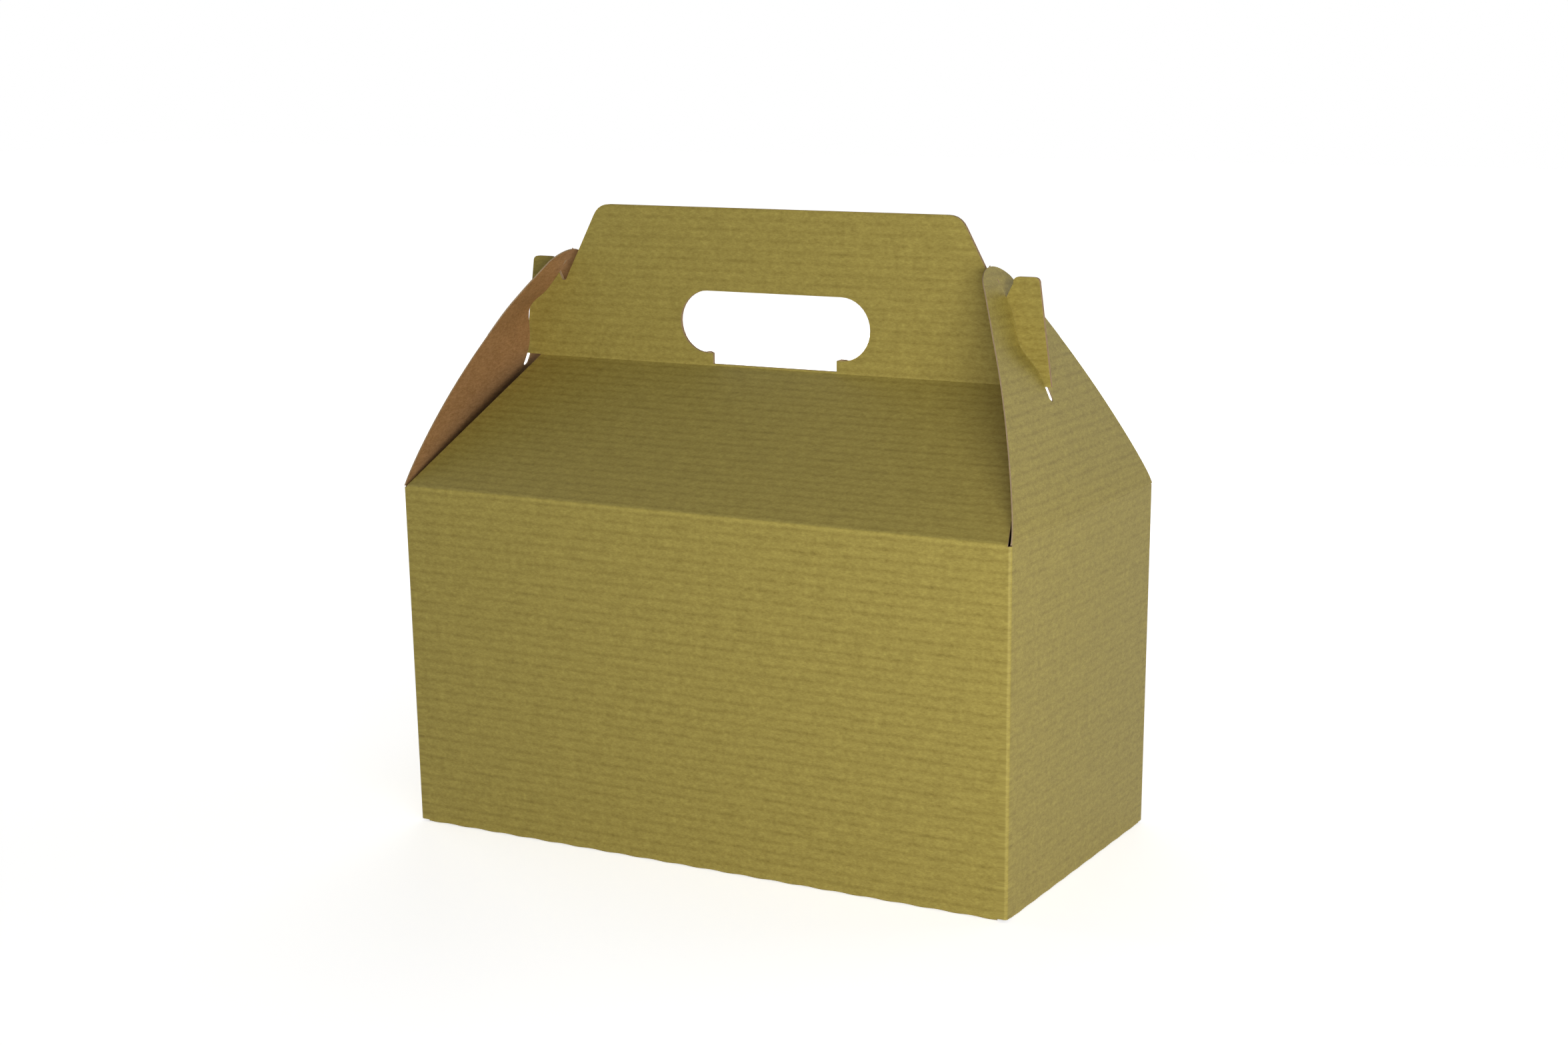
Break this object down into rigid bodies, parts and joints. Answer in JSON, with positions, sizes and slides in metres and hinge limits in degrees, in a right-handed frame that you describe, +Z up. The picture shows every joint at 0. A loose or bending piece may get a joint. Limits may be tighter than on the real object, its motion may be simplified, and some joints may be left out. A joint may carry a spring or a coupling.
{
  "type": "gable box",
  "caption": "Folded kraft board carry box with a sloping roof, an upright handle with a hand hole, and a slotted gable flap hooked over ears at each end.",
  "frame": {"origin": "middle of the base, on the surface that the box stands on", "axes": "+Z up, X along the long front wall, -Y out of the front wall"},
  "size_m": [0.241, 0.124, 0.226],
  "materials": {
    "kraft_board": "uncoated kraft, fine ribbed, matt"
  },
  "bodies": {
    "carton": {"carton": "kraft_board"},
    "flap_left": {"gable_flap_left": "kraft_board"},
    "flap_right": {"gable_flap_right": "kraft_board"}
  },
  "joints": [
    {"name": "left_flap_crease", "type": "hinge", "parent": "carton", "child": "flap_left", "pos_m": [-0.1205, 0, 0.127], "axis": [0, -1, 0], "range_deg": [0, 115]},
    {"name": "right_flap_crease", "type": "hinge", "parent": "carton", "child": "flap_right", "pos_m": [0.1205, 0, 0.127], "axis": [0, 1, 0], "range_deg": [0, 115]}
  ]
}
